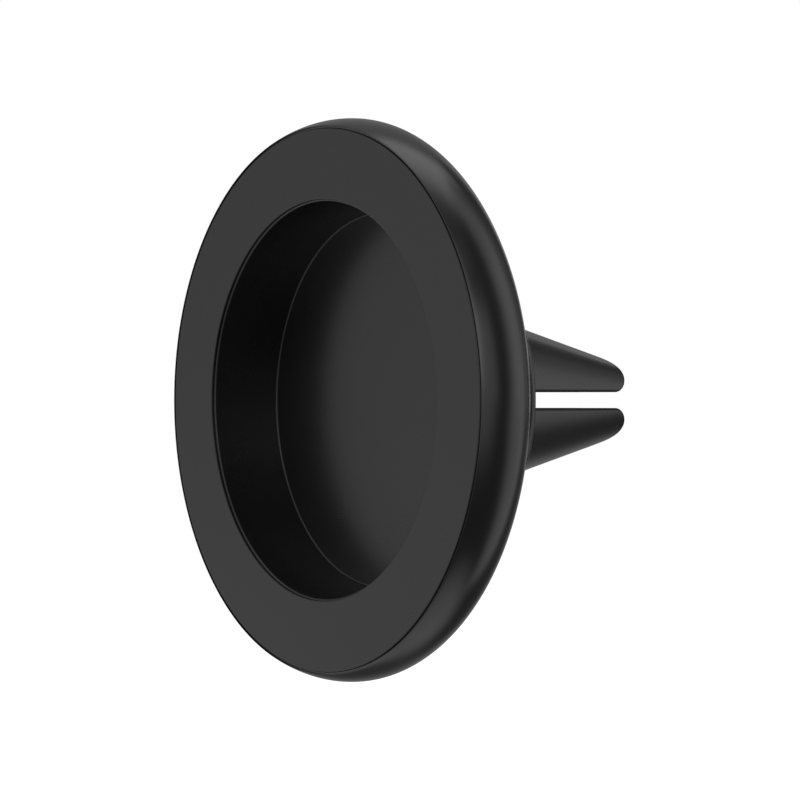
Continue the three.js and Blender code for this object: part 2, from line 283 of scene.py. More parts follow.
class MOUNT_PG_clip(bpy.types.PropertyGroup):
    """Sizes of the spindle, the flange and the split cone."""

    spindle_radius: length("Spindle Radius", "Radius of the spindle", 0.006)
    spindle_edge: length("Spindle Edge", "Chamfer of the spindle", 0.0004)
    flange_radius: length("Flange Radius", "Radius of the flange", reach_of("clip_hub"))
    flange_front: place("Flange Front", "Place of the flange's front", back_of("glide_ring") + RUNNING_GAP)
    flange: length("Flange", "Thickness of the flange", 0.0009)
    flange_rounding: length("Flange Rounding", "Rounding of the rear edge of the flange", 0.00062)
    flange_edge: length("Flange Edge", "Rounding of the front edge of the flange", 0.0001)
    collar_end: place("Collar End", "Place of the end of the root collar", back_of("clip_hub"))
    hole_end: place("Hole End", "Place of the bottom of the screw hole", back_of("swivel_screw") + SCREW_ROOM)
    cone_radius: length("Cone Radius", "Radius of the cone at the flange", 0.01028)
    cone_taper: angle("Cone Taper", "Slope of the cone", 15.54)
    reach: length("Reach", "Length of the cone behind the flange", 0.021)
    slot_level: length("Level Slot", "Half width of the level slot", SLOT_LEVEL)
    slot_upright: length("Upright Slot", "Half width of the upright slot", SLOT_UPRIGHT)
    slot_mouth: length("Slot Mouth", "Rounding of the slots at the tips", 0.0023)
    nose: length("Nose", "Rounding of the cone at the tips", 0.0002)
    corner: length("Corner", "Rounding along the edges of a prong", 0.00016)
    skin_start: place("Skin Start", "Place of the root edge of the skins", front_of("prong_boot_1"))
    skin: length("Skin", "Thickness of a skin", 0.001)
    skin_clearance: length("Skin Clearance", "Room between skin and spine", 0.0003)
    spine_start: place("Spine Start", "Place of the root of the spines", front_of("prong_core_1"))
    spine_end: place("Spine End", "Place of the tip of the spines", back_of("prong_core_1"))
    spine_rounding: length("Spine Rounding", "Rounding of the tips of the spines", 0.00065)


class MOUNT_PG_finishes(bpy.types.PropertyGroup):
    """Colours and gloss of the materials."""

    face: colour("Face", "Colour of the face moulding", (0.0052, 0.0052, 0.0054))
    face_roughness: share("Face Roughness", "Roughness of the face moulding", 0.28)
    face_gloss: share("Face Gloss", "Specular level of the face moulding", 0.335)
    shell: colour("Shell", "Colour of the shell", (0.003, 0.003, 0.0032))
    shell_roughness: share("Shell Roughness", "Roughness of the shell", 0.26)
    shell_gloss: share("Shell Gloss", "Specular level of the shell", 0.5)
    rubber: colour("Rubber", "Colour of the prong skins", (0.005, 0.005, 0.0052))
    rubber_roughness: share("Rubber Roughness", "Roughness of the prong skins", 0.28)
    slot_roughness: share("Slot Roughness", "Roughness of the faces along the slots", 0.95)
    # Slot Shade and the dull places below darken the rubber's colour along the slots: painted shade, besides
    # the rougher finish there
    slot_painted_shade: share("Slot Shade", "Share of the rubber's colour there", 0.3)
    dull_shaded_level: length("Dull Level", "Where the level slot's edges turn dull", SLOT_LEVEL + DULL_AND_SHADED_EDGE)
    dull_shaded_upright: length("Dull Upright", "Where the upright slot's do", SLOT_UPRIGHT + DULL_AND_SHADED_EDGE)
    dull_shaded_fade: length("Dull Fade", "Half the distance over which that finish fades", 0.00006)
    nylon: colour("Nylon", "Colour of the prong spines", (0.03, 0.03, 0.031))
    acetal: colour("Acetal", "Colour of the glide washer", (0.80, 0.79, 0.75))
    nickel: colour("Nickel", "Colour of the plated magnets", (0.62, 0.60, 0.56))
    steel: colour("Steel", "Colour of the zinc-plated steel", (0.50, 0.50, 0.52))
    passivate: colour("Passivate", "Bluish tint in patches of the zinc", (0.45, 0.47, 0.54))
    grain: length("Grain", "Size of the moulded grain", 0.00012)
    rubber_grain: length("Rubber Grain", "Size of the grain of the prong skins", 0.000168)


class MOUNT_PG_stage(bpy.types.PropertyGroup):
    """The camera, the floor and the light."""

    camera_turn: angle("Camera Turn", "Turn of the camera away from the face's own axis", 54.93)
    camera_distance: length("Camera Distance", "Distance of the camera from the face", 0.4472)
    camera_offset: length("Camera Offset", "How far the camera stands to the right of the face", 0.008602)
    lens: bpy.props.FloatProperty(
        name="Lens", description="Focal length", default=189.63, subtype="DISTANCE_CAMERA", unit="CAMERA",
    )
    shift_across: shift("Shift Across", "Sideways shift of the picture", -0.000625)
    shift_up: shift("Shift Up", "Upward shift of the picture", 0.00009)
    floor_height: place("Floor Height", "Height of the floor", -0.06)
    floor_size: length("Floor Size", "Width of the floor and of the card on it", 4.0)
    floor_grey: share("Floor Grey", "Colour of the floor", 0.8)
    floor_lift: level("Floor Lift", "White added to the floor where it is seen", 0.35)
    ambient: level("Ambient", "Plain level of the light from all round", 0.85)
    # The card on the floor glows, and only reflections see it: its greys, strip and pool are painted
    # reflections
    table_lift: length("Table Lift", "Height of the card above the floor", 0.002)
    table_grey: share("Table Grey", "Grey of the card on the floor", 0.11)
    behind_grey: share("Behind Grey", "Its grey behind the mount", 0.36)
    open_grey: share("Open Grey", "Grey of the rest of the card", 0.88)
    table_turn: angle("Table Turn", "Turn of the middle of that card", 60)
    table_open: angle("Table Open", "Turn from there at which the card starts to fade", 125)
    table_end: angle("Table End", "Turn from there at which it has faded", 155)
    open_near: length("Open Near", "Distance at which the near left of the card starts to fade", 0.08)
    open_far: length("Open Far", "Distance at which it has faded", 0.3)
    open_left: angle("Open Left", "Turn up to which it fades", -15)
    open_right: angle("Open Right", "Turn from which it stays", 10)
    behind_start: angle("Behind Start", "Turn at which the card behind the mount starts", 98)
    behind_end: angle("Behind End", "Turn at which it has its own grey", 122)
    behind_near: place("Behind Near", "Place along Y at which it starts", 0.006)
    behind_far: place("Behind Far", "Place along Y at which it has its own grey", 0.045)
    strip_x: place("Strip X", "Where the lighter strip on the card starts, along X", 0.031)
    strip_y: place("Strip Y", "Where it starts, along Y", 0.012)
    strip_turn: angle("Strip Turn", "Direction of that strip", 55)
    strip_half: angle("Strip Half Width", "Half of its width", 28.5)
    strip_soft: angle("Strip Softness", "Softness of its edges", 9)
    strip_grey: level("Strip Grey", "Grey of that strip", 1.05)
    pool_x: place("Pool X", "Middle of the pool of light under the rim, along X", 0.021)
    pool_y: place("Pool Y", "Its middle along Y", -0.004)
    pool_width: length("Pool Width", "Its half width", 0.027)
    pool_depth: length("Pool Depth", "Its half depth", 0.021)
    pool_start: level("Pool Start", "Share of those at which it starts to fade", 0.35)
    pool_end: level("Pool End", "Share of those at which it has faded", 1.35)


class MOUNT_PG_mount(bpy.types.PropertyGroup):
    """All the sizes and finishes of the mount."""

    face: bpy.props.PointerProperty(type=MOUNT_PG_face)
    magnets: bpy.props.PointerProperty(type=MOUNT_PG_magnets)
    shell: bpy.props.PointerProperty(type=MOUNT_PG_shell)
    swivel: bpy.props.PointerProperty(type=MOUNT_PG_swivel)
    clip: bpy.props.PointerProperty(type=MOUNT_PG_clip)
    finishes: bpy.props.PointerProperty(type=MOUNT_PG_finishes)
    stage: bpy.props.PointerProperty(type=MOUNT_PG_stage)


# Shader graphs

class Wire:
    """One output of a shader node. Python's operators on it add Math nodes."""

    def __init__(self, graph, socket):
        self.graph = graph
        self.socket = socket

    def maths(self, operation, *values):
        return self.graph.maths(operation, *values)

    def __add__(self, other):
        return self.maths("ADD", self, other)

    def __sub__(self, other):
        return self.maths("SUBTRACT", self, other)

    def __rsub__(self, other):
        return self.maths("SUBTRACT", other, self)

    def __mul__(self, other):
        return self.maths("MULTIPLY", self, other)

    def __truediv__(self, other):
        return self.maths("DIVIDE", self, other)

    def __or__(self, other):
        return self.maths("MAXIMUM", self, other)

    def size(self):
        """Its value without the sign."""
        return self.maths("ABSOLUTE", self)

    __radd__ = __add__
    __rmul__ = __mul__


class Graph:
    """The node tree of a material or of the world."""

    # Sockets of the Mix node that carry colours
    MIX_FIRST, MIX_SECOND, MIX_RESULT = 6, 7, 2

    def __init__(self, owner):
        owner.use_nodes = True
        self.tree = owner.node_tree
        self.tree.nodes.clear()

    def add(self, kind, settings=None, inputs=None, output=0):
        """Add a node: its settings first, then the values or wires of its sockets."""
        node = self.tree.nodes.new(kind)
        for name, value in (settings or {}).items():
            setattr(node, name, value)
        for name, value in (inputs or {}).items():
            if isinstance(value, Wire):
                self.tree.links.new(value.socket, node.inputs[name])
            else:
                node.inputs[name].default_value = value
        return Wire(self, node.outputs[output]) if node.outputs else None

    def maths(self, operation, *values):
        return self.add("ShaderNodeMath", {"operation": operation}, dict(enumerate(values)))

    def ramp(self, value, start, end):
        """0 up to the start and 1 from the end on, with a soft change between."""
        inputs = {"Value": value, "From Min": start, "From Max": end}
        return self.add("ShaderNodeMapRange", {"interpolation_type": "SMOOTHSTEP"}, inputs)

    def reach(self, first, second):
        """Length of a line from its two steps, square to each other."""
        return self.maths("SQRT", first * first + second * second)

    def place(self, axis):
        """One coordinate in the piece's own space, in metres."""
        at = self.add("ShaderNodeTexCoord", output="Object")
        return self.add("ShaderNodeSeparateXYZ", None, {0: at}, axis)

    def mix(self, factor, first, second):
        """Blend two colours."""
        inputs = {0: factor, self.MIX_FIRST: first, self.MIX_SECOND: second}
        return self.add("ShaderNodeMix", {"data_type": "RGBA"}, inputs, self.MIX_RESULT)

    def toned(self, factor, tone, darkest, lightest):
        """Blend a darker and a lighter shade of one colour."""
        return self.mix(factor, shade(tone, darkest), shade(tone, lightest))

    def noise(self, size, detail=2.0, stretch=(1, 1, 1)):
        """Noise between 0 and 1 in the part's own space, with patches of about this size in metres."""
        at = self.add("ShaderNodeTexCoord", output="Object")
        scaled = self.add("ShaderNodeVectorMath", {"operation": "MULTIPLY"}, {0: at, 1: stretch})
        inputs = {"Vector": scaled, "Scale": 1 / size, "Detail": detail, "Roughness": 0.55}
        return self.add("ShaderNodeTexNoise", {"noise_dimensions": "3D"}, inputs)

    def radius(self):
        """Distance from the swivel axis, in metres."""
        at = self.add("ShaderNodeTexCoord", output="Object")
        flat = self.add("ShaderNodeVectorMath", {"operation": "MULTIPLY"}, {0: at, 1: (1, 0, 1)})
        return self.add("ShaderNodeVectorMath", {"operation": "LENGTH"}, {0: flat}, "Value")

    def rings(self, radians_a_metre):
        """Waves round the swivel axis, between -1 and 1."""
        return self.maths("SINE", self.radius() * radians_a_metre)

    def bump(self, height, depth):
        """Surface normal for a height between 0 and 1 that stands for this depth in metres."""
        return self.add("ShaderNodeBump", None, {"Strength": 1.0, "Distance": depth, "Height": height})

    def surface(self, inputs):
        """Principled surface straight to the output."""
        shader = self.add("ShaderNodeBsdfPrincipled", None, inputs)
        self.add("ShaderNodeOutputMaterial", None, {"Surface": shader})


def shade(tone, factor):
    """The colour, darkened or lightened by a factor, as the four numbers that a socket takes."""
    return (*(channel * factor for channel in tone), 1.0)


def swing(noise, spread):
    """A noise between 0 and 1 as a change to both sides of 0, as wide as the spread."""
    return spread * (noise - 0.5)


def span(part, start, end):
    """A part between 0 and 1 as a value between the start and the end."""
    return start + (end - start) * part


def risen(wave):
    """A wave between -1 and 1 as a height between 0 and 1."""
    return wave * 0.5 + 0.5


def moulded_plastic(graph, tone, roughness, gloss, grain):
    """Spark-eroded tool finish: very fine even grain, faint flow marks in tone and gloss."""
    fine = graph.noise(grain, detail=3.0)
    flow = graph.noise(size=0.006, stretch=(1, 3, 1))
    graph.surface({
        "Base Color": graph.toned(flow, tone, darkest=0.92, lightest=1.08),
        "Roughness": roughness + swing(fine, spread=0.03) + swing(flow, spread=0.03),
        "Specular IOR Level": gloss,
        "Normal": graph.bump(fine, depth=4e-7),
    })


def face_moulding_finish(graph, finishes):
    """Smooth matte black plastic."""
    moulded_plastic(graph, finishes.face, finishes.face_roughness, finishes.face_gloss, finishes.grain)


def shell_moulding_finish(graph, finishes):
    """Satin black plastic."""
    moulded_plastic(graph, finishes.shell, finishes.shell_roughness, finishes.shell_gloss, finishes.grain)


def prong_rubber_finish(graph, finishes):
    """Satin black rubber with a faint bloom, dull on the faces along the slots and darker there as painted
    shade.
    """
    fine = graph.noise(finishes.rubber_grain, detail=4.0)
    bloom = graph.noise(size=0.0022, detail=3.0)
    fade = finishes.dull_shaded_fade
    beside_level, beside_upright = (
        1 - graph.ramp(graph.place(axis).size(), edge - fade, edge + fade)
        for axis, edge in (("Z", finishes.dull_shaded_level), ("X", finishes.dull_shaded_upright))
    )
    dull_and_shaded_slots = beside_level | beside_upright
    body = graph.toned(bloom, finishes.rubber, darkest=0.88, lightest=1.12)
    satin = finishes.rubber_roughness + swing(bloom, spread=0.05) + swing(fine, spread=0.03)
    graph.surface({
        # Along the slots the colour is darkened: painted shade; the roughness change there is the real dull
        # finish
        "Base Color": graph.mix(dull_and_shaded_slots, body, shade(finishes.rubber, finishes.slot_painted_shade)),
        "Roughness": span(dull_and_shaded_slots, satin, finishes.slot_roughness),
        "Normal": graph.bump(fine, depth=6e-7),
    })


def core_nylon_finish(graph, finishes):
    """Glass-filled nylon: short pale fibres drawn out along the moulding's flow."""
    fibres = graph.noise(size=0.00035, stretch=(5, 0.6, 5))
    strands = graph.ramp(fibres, start=0.55, end=0.72)
    graph.surface({
        "Base Color": graph.toned(strands, finishes.nylon, darkest=0.85, lightest=2.4),
        "Roughness": span(strands, start=0.62, end=0.5),
        "Normal": graph.bump(fibres, depth=3e-6),
    })


def glide_acetal_finish(graph, finishes):
    """Natural acetal, polished in rings where it has run."""
    cloud = graph.noise(size=0.0018)
    wear = graph.noise(size=0.00025, stretch=(0.02, 1, 0.02))
    track = graph.rings(radians_a_metre=14000.0)
    graph.surface({
        "Base Color": graph.toned(cloud, finishes.acetal, darkest=0.95, lightest=1.0),
        "Roughness": 0.36 + 0.05 * track * wear + swing(cloud, spread=0.08),
        "Normal": graph.bump(risen(track), depth=5e-7),
    })


def magnet_nickel_finish(graph, finishes):
    """Bright nickel plate over a sintered body: a soft orange peel and a few duller patches."""
    peel = graph.noise(size=0.0004)
    patches = graph.noise(size=0.0021, detail=3.0)
    graph.surface({
        "Base Color": graph.toned(patches, finishes.nickel, darkest=0.9, lightest=1.05),
        "Metallic": 1.0,
        "Roughness": span(patches, start=0.2, end=0.34),
        "Normal": graph.bump(peel, depth=2e-6),
    })


def plated_steel_finish(graph, finishes):
    """Bright zinc over turned steel: fine concentric tool marks and a faint bluish passivate."""
    marks = graph.rings(radians_a_metre=52000.0)
    tint = graph.noise(size=0.003)
    graph.surface({
        "Base Color": graph.mix(tint, shade(finishes.steel, 1.0), shade(finishes.passivate, 1.0)),
        "Metallic": 1.0,
        "Roughness": span(tint, start=0.3, end=0.4) + 0.05 * marks,
        "Normal": graph.bump(risen(marks), depth=8e-7),
    })


FINISHES = {
    "face_moulding": face_moulding_finish,
    "shell_moulding": shell_moulding_finish,
    "clip_moulding": shell_moulding_finish,
    "prong_rubber": prong_rubber_finish,
    "core_nylon": core_nylon_finish,
    "glide_acetal": glide_acetal_finish,
    "magnet_nickel": magnet_nickel_finish,
    "plated_steel": plated_steel_finish,
}


def finish_of(slot):
    """The material of one of the record's slots, made when a piece first asks for it."""
    name = f"{slot}_finish"
    material = bpy.data.materials.get(name)
    if material is None:
        material = bpy.data.materials.new(name)
        FINISHES[slot](Graph(material), bpy.context.scene.phone_mount.finishes)
    return material


# Sections

def arc(centre, size, start, end, steps=None):
    """Points along an arc, both ends included: in so many steps, or as fine as it needs."""
    if steps is None:
        widest_step = 2 * math.acos(1 - ARC_TOLERANCE / size)
        steps = max(2, math.ceil(abs(end - start) / widest_step))
    angles = [start + (end - start) * step / steps for step in range(steps + 1)]
    return [(centre[0] + size * math.cos(a), centre[1] + size * math.sin(a)) for a in angles]


def between(first, second, part):
    """Point part of the way from one point to another."""
    return tuple(a + (b - a) * part for a, b in zip(first, second))


def supported(outline):
    """Add a point near both ends of each straight stretch, so that it shades flat beside a rounding."""
    points = []
    for first, second in zip(outline, outline[1:] + outline[:1]):
        points.append(first)
        run = math.dist(first, second)
        if run > STRAIGHT_RUN:
            points.append(between(first, second, SUPPORT / run))
            points.append(between(first, second, 1 - SUPPORT / run))
    return points


def bar(inner, outer, front, back, rounding):
    """Section of a flat ring with rounded edges."""
    low, high = inner + rounding, outer - rounding
    near, far = front + rounding, back - rounding
    return [
        *arc((low, near), rounding, -HALF_TURN, -QUARTER_TURN),
        *arc((high, near), rounding, -QUARTER_TURN, 0),
        *arc((high, far), rounding, 0, QUARTER_TURN),
        *arc((low, far), rounding, QUARTER_TURN, HALF_TURN),
    ]


# Solids

def round_axis(radius, y, turn):
    """A point of a section, turned about the swivel axis."""
    return radius * math.cos(turn), y, radius * math.sin(turn)


def mesh_of(name, bm):
    """The mesh of a bmesh, which is freed."""
    mesh = bpy.data.meshes.new(name)
    bm.to_mesh(mesh)
    bm.free()
    return mesh


def added(name, data):
    """A new object in the scene."""
    obj = bpy.data.objects.new(name, data)
    bpy.context.scene.collection.objects.link(obj)
    return obj


def skin_rings(bm, rings, closed):
    """Join rings of vertices that have the same count, and the last to the first if closed."""
    pairs = zip(rings, rings[1:] + rings[:1]) if closed else zip(rings, rings[1:])
    for here, there in pairs:
        for point, corner in enumerate(here):
            following = (point + 1) % len(here)
            on_axis = corner.co.xz.length < WELD and here[following].co.xz.length < WELD
            if not on_axis:
                bm.faces.new((corner, here[following], there[following], there[point]))


def tidied(bm):
    """Weld what meets and turn every face outwards."""
    bmesh.ops.remove_doubles(bm, verts=bm.verts, dist=WELD)
    bmesh.ops.recalc_face_normals(bm, faces=bm.faces)
    return bm


def turned(outline, sides):
    """A solid turned about the swivel axis. Its outline may be a function of the angle."""
    bm = bmesh.new()
    rings = []
    for side in range(sides):
        turn = TURN * side / sides
        points = outline(turn) if callable(outline) else outline
        rings.append([bm.verts.new(round_axis(radius, y, turn)) for radius, y in points])
    skin_rings(bm, rings, closed=True)
    return tidied(bm)


def lofted(sections):
    """A solid through a row of closed sections, with a face over the first and the last."""
    bm = bmesh.new()
    rings = [[bm.verts.new(point) for point in section] for section in sections]
    skin_rings(bm, rings, closed=False)
    bm.faces.new(rings[0])
    bm.faces.new(rings[-1])
    return tidied(bm)


def block(bm, corners):
    """Add a prism to a bmesh, from the corners of one end and of the other."""
    ends = [[bm.verts.new(point) for point in end] for end in corners]
    skin_rings(bm, ends, closed=False)
    bm.faces.new(ends[0])
    bm.faces.new(ends[1])


def radial_rib(bm, outline, thickness, turn):
    """Add a rib whose (radius, y) outline lies in a plane through the axis."""
    along = Vector((math.cos(turn), 0, math.sin(turn)))
    across = Vector((-math.sin(turn), 0, math.cos(turn))) * thickness / 2
    up = Vector((0, 1, 0))
    block(bm, [[along * r + up * y + across * side for r, y in outline] for side in (-1, 1)])


def flat_ring(node, inner, outer, rounding):
    """A turned ring with rounded edges, in the place of a node."""
    section = bar(inner, outer, front_of(node), back_of(node), rounding)
    return turned(supported(section), BODY_SIDES)


def ribbed(outline, rib, number, thickness, first):
    """A turned solid with a ring of equal ribs, which starts at this part of their spacing."""
    ribs = bmesh.new()
    for index in range(number):
        radial_rib(ribs, rib, thickness, TURN * (index + first) / number)
    return combined(turned(supported(outline), BODY_SIDES), tidied(ribs), "UNION")


def combined(base, tool, operation):
    """Join or cut one solid with another by an exact boolean."""
    objects = [added("combining", mesh_of("combining", bm)) for bm in (base, tool)]
    modifier = objects[0].modifiers.new("combining", "BOOLEAN")
    modifier.operation = operation
    modifier.solver = "EXACT"
    modifier.object = objects[1]
    result = bmesh.new()
    result.from_object(objects[0], bpy.context.evaluated_depsgraph_get())
    for used in objects:
        mesh = used.data
        bpy.data.objects.remove(used)
        bpy.data.meshes.remove(mesh)
    return result


def fit(name, bm, body, slot, *nodes):
    """Make a finished solid the piece that stands for these nodes and rides on their body."""
    if name in bpy.data.objects:
        bpy.data.objects.remove(bpy.data.objects[name])
    mesh = mesh_of(name, bm)
    mesh.shade_smooth()
    mesh.set_sharp_from_angle(angle=SHARP_ANGLE)
    mesh.materials.append(finish_of(slot))
    piece = added(name, mesh)
    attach(piece, body)
    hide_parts(*nodes)
    return piece


# The straight back of the shell, as a line square to its angle

def line_normal(mount):
    """Direction square to the straight back, as (radius, y)."""
    return math.cos(mount.shell.back_angle), math.sin(mount.shell.back_angle)


def cup_corner(mount):
    """Centre of the rounded rear corner of the recess moulding."""
    face = mount.face
    return face.mouth_radius + face.wall - face.corner, face.back - face.corner


def back_line(mount, offset):
    """Distance of a line that clears that corner by an offset."""
    normal, corner = line_normal(mount), cup_corner(mount)
    return normal[0] * corner[0] + normal[1] * corner[1] + mount.face.corner + offset


def radius_on(mount, line, y):
    """Radius of such a line at a place along the axis."""
    normal = line_normal(mount)
    return (line - normal[1] * y) / normal[0]


def place_on(mount, line, radius):
    """Place along the axis where such a line has a radius."""
    normal = line_normal(mount)
    return (line - normal[0] * radius) / normal[1]


# Outlines of the mouldings

def face_outline(mount):
    """The flat annular face, the step in the mouth, the drafted wall and the floor."""
    face = mount.face
    step = face.front + face.step_depth
    draft = math.atan2(face.mouth_radius - face.floor_radius, -step)
    rounding, edge = face.mouth_edge, face.plate_edge
    plate_back = face.front + face.plate
    floor_corner = (face.floor_radius - face.floor_fillet, -face.floor_fillet)
    step_corner = (face.mouth_radius + face.step_edge, step + face.step_edge)
    mouth_corner = (face.mouth_radius + face.step_width + rounding, face.front + rounding)
    return [
        (0, 0),
        *arc(floor_corner, face.floor_fillet, QUARTER_TURN, draft),
        *arc(step_corner, face.step_edge, HALF_TURN, 3 * QUARTER_TURN),
        (face.mouth_radius + face.step_width, step),
        *arc(mouth_corner, rounding, HALF_TURN, 3 * QUARTER_TURN),
        *arc((face.plate_radius - edge, face.front + edge), edge, -QUARTER_TURN, 0),
        (face.plate_radius, plate_back),
        (face.mouth_radius + face.wall, plate_back),
        *arc(cup_corner(mount), face.corner, 0, QUARTER_TURN),
        (0, face.back),
    ]


def boss_sizes(mount):
    """Radius of the bearing boss, and the places of its front and its end."""
    shell = mount.shell
    front = back_of("wave_spring") + RUNNING_GAP
    return shell.bore_radius + shell.boss_wall, front, front + shell.boss_height


def shell_outside(mount):
    """The rim from the groove at the face, the straight back and the neck."""
    face, shell = mount.face, mount.shell
    outer = back_line(mount, shell.cup_clearance + shell.wall)
    front_size = (shell.bulge ** 2 + shell.front_drop ** 2) / (2 * shell.front_drop)
    bulge_y = face.front + shell.bulge
    rear_size = back_of("yoke_ring") + shell.back_wall - bulge_y
    front_centre = (shell.radius - front_size, bulge_y)
    rear_centre = (shell.radius - rear_size, bulge_y)
    lip = shell.lip_rounding
    lip_radius = face.plate_radius + shell.groove + lip
    lip_angle = -math.acos((lip_radius - front_centre[0]) / (front_size - lip))
    lip_centre = (lip_radius, front_centre[1] + (front_size - lip) * math.sin(lip_angle))
    normal = line_normal(mount)
    reach = normal[0] * rear_centre[0] + normal[1] * rear_centre[1]
    fillet = shell.back_fillet
    fillet_angle = shell.back_angle + math.acos((outer + fillet - reach) / (rear_size + fillet))
    fillet_centre = (
        rear_centre[0] + (rear_size + fillet) * math.cos(fillet_angle),
        rear_centre[1] + (rear_size + fillet) * math.sin(fillet_angle),
    )
    neck_root = shell.neck_radius + shell.neck_fillet
    neck_centre = (neck_root, place_on(mount, outer + shell.neck_fillet, neck_root))
    edge = shell.neck_edge
    return [
        *arc(lip_centre, lip, -HALF_TURN, lip_angle),
        *arc(front_centre, front_size, lip_angle, 0)[1:],
        *arc(rear_centre, rear_size, 0, fillet_angle)[1:],
        *arc(fillet_centre, fillet, fillet_angle + HALF_TURN, shell.back_angle + HALF_TURN)[1:],
        *arc(neck_centre, shell.neck_fillet, shell.back_angle + HALF_TURN, HALF_TURN),
        *arc((shell.neck_radius - edge, shell.neck_end - edge), edge, 0, QUARTER_TURN),
    ]


def shell_inside(mount):
    """The seat of the glide washer, the bore, the boss, the magnet shelf and the seat of the face."""
    face, shell, swivel = mount.face, mount.shell, mount.swivel
    seat_radius = face.plate_radius + shell.seam
    groove_radius = face.plate_radius + shell.groove
    groove_floor = face.front + shell.groove_depth
    plate_back = face.front + face.plate
    shelf = back_of("yoke_ring")
    channel_radius = face.plate_radius - shell.ledge
    ledge_inner = mount.magnets.inner_radius + shell.ledge_inset
    inner = back_line(mount, shell.cup_clearance)
    glide_outer = swivel.glide_outer + swivel.glide_clearance
    glide_inner = swivel.glide_inner - swivel.glide_clearance
    glide_seat = front_of("glide_ring")
    boss_radius, boss_front, boss_end = boss_sizes(mount)
    return [
        (glide_outer, shell.neck_end),
        (glide_outer, glide_seat),
        (glide_inner, glide_seat),
        (glide_inner, shell.neck_end),
        (shell.bore_radius, shell.neck_end),
        (shell.bore_radius, boss_front),
        (boss_radius, boss_front),
        (boss_radius, boss_end),
        (radius_on(mount, inner, boss_end), boss_end),
        (ledge_inner, place_on(mount, inner, ledge_inner)),
        (ledge_inner, shelf),
        (channel_radius, shelf),
        (channel_radius, plate_back),
        (seat_radius, plate_back),
        (seat_radius, groove_floor),
        (groove_radius, groove_floor),
    ]


def boss_rib_outline(mount):
    """A rib between the boss and the straight back, sunk a little into both."""
    inner = back_line(mount, mount.shell.cup_clearance)
    boss_radius, boss_front, boss_end = boss_sizes(mount)
    return [
        (boss_radius - OVERLAP, boss_end + OVERLAP),
        (boss_radius - OVERLAP, boss_front),
        (radius_on(mount, inner, boss_front) + OVERLAP, boss_front),
        (radius_on(mount, inner, boss_end) + OVERLAP, boss_end),
        (radius_on(mount, inner, boss_end), boss_end + OVERLAP),
    ]


def hub_outline(mount):
    """The spindle with its blind screw hole, the flange and the root collar."""
    clip, hole_radius = mount.clip, mount.swivel.hole_radius
    flange_back = clip.flange_front + clip.flange
    rear, edge = clip.flange_rounding, clip.flange_edge
    collar_radius = clip.cone_radius - (clip.collar_end - flange_back) * math.tan(clip.cone_taper)
    lead = clip.corner
    return [
        (0, clip.hole_end),
        (hole_radius, clip.hole_end),
        (hole_radius, front_of("clip_hub")),
        (clip.spindle_radius - clip.spindle_edge, front_of("clip_hub")),
        (clip.spindle_radius, front_of("clip_hub") + clip.spindle_edge),
        (clip.spindle_radius, clip.flange_front),
        *arc((clip.flange_radius - edge, clip.flange_front + edge), edge, -QUARTER_TURN, 0),
        *arc((clip.flange_radius - rear, flange_back - rear), rear, 0, QUARTER_TURN),
        (clip.cone_radius, flange_back),
        *arc((collar_radius - lead, clip.collar_end - lead), lead, clip.cone_taper, QUARTER_TURN),
        (0, clip.collar_end),
    ]


# The prongs

def cone_radius(clip, y, inset, tip, nose):
    """Radius of the cone at a place along the axis, drawn in by an inset and rounded at the nose."""
    flange_back = clip.flange_front + clip.flange

    def straight(along):
        drop = inset / math.cos(clip.cone_taper)
        return clip.cone_radius - (along - flange_back) * math.tan(clip.cone_taper) - drop

    centre = tip - nose
    if y <= centre + nose * math.sin(clip.cone_taper):
        return straight(y)
    middle = straight(centre) - nose / math.cos(clip.cone_taper)
    return middle + math.sqrt(max(0, nose ** 2 - (y - centre) ** 2))


def slot_faces(clip, y, inset, tip, mouth):
    """Places of a prong's two slot faces, which curve away from the slots at the tip."""
    past = max(0, y - (tip - mouth))
    opened = mouth - math.sqrt(max(0, mouth ** 2 - past ** 2))
    return clip.slot_upright + inset + opened, clip.slot_level + inset + opened


def quarter_ring(clip, signs, y, inset, tip, nose, mouth, shrink=0):
    """One cross section of a prong: two flat faces, the cone's arc, and three rounded corners."""
    radius = cone_radius(clip, y, inset, tip, nose) - shrink
    face_x, face_z = (face + shrink for face in slot_faces(clip, y, inset, tip, mouth))
    gap = radius - math.hypot(face_x, face_z)
    rounding = min(clip.corner, ROUNDING_SHARE * gap)
    inside = radius - rounding
    inner_x, inner_z = face_x + rounding, face_z + rounding
    side_x = math.sqrt(inside ** 2 - inner_z ** 2)
    side_z = math.sqrt(inside ** 2 - inner_x ** 2)
    side_angle = math.atan2(inner_z, side_x)
    top_angle = math.atan2(side_z, inner_x)
    points = [
        *arc((inner_x, inner_z), rounding, HALF_TURN, 3 * QUARTER_TURN, PRONG_CORNER_STEPS),
        *straight_between((inner_x, face_z), (side_x, face_z)),
        *arc((side_x, inner_z), rounding, -QUARTER_TURN, side_angle, PRONG_EDGE_STEPS),
        *arc((0, 0), radius, side_angle, top_angle, PRONG_ROUND_STEPS)[1:-1],
        *arc((inner_x, side_z), rounding, top_angle, HALF_TURN, PRONG_EDGE_STEPS),
        *straight_between((face_x, side_z), (face_x, inner_z)),
    ]
    return [(x * signs[0], y, z * signs[1]) for x, z in points]


def straight_between(first, second):
    """Two points near the ends of a flat stretch and one in its middle."""
    return [between(first, second, part) for part in FLAT_PARTS]


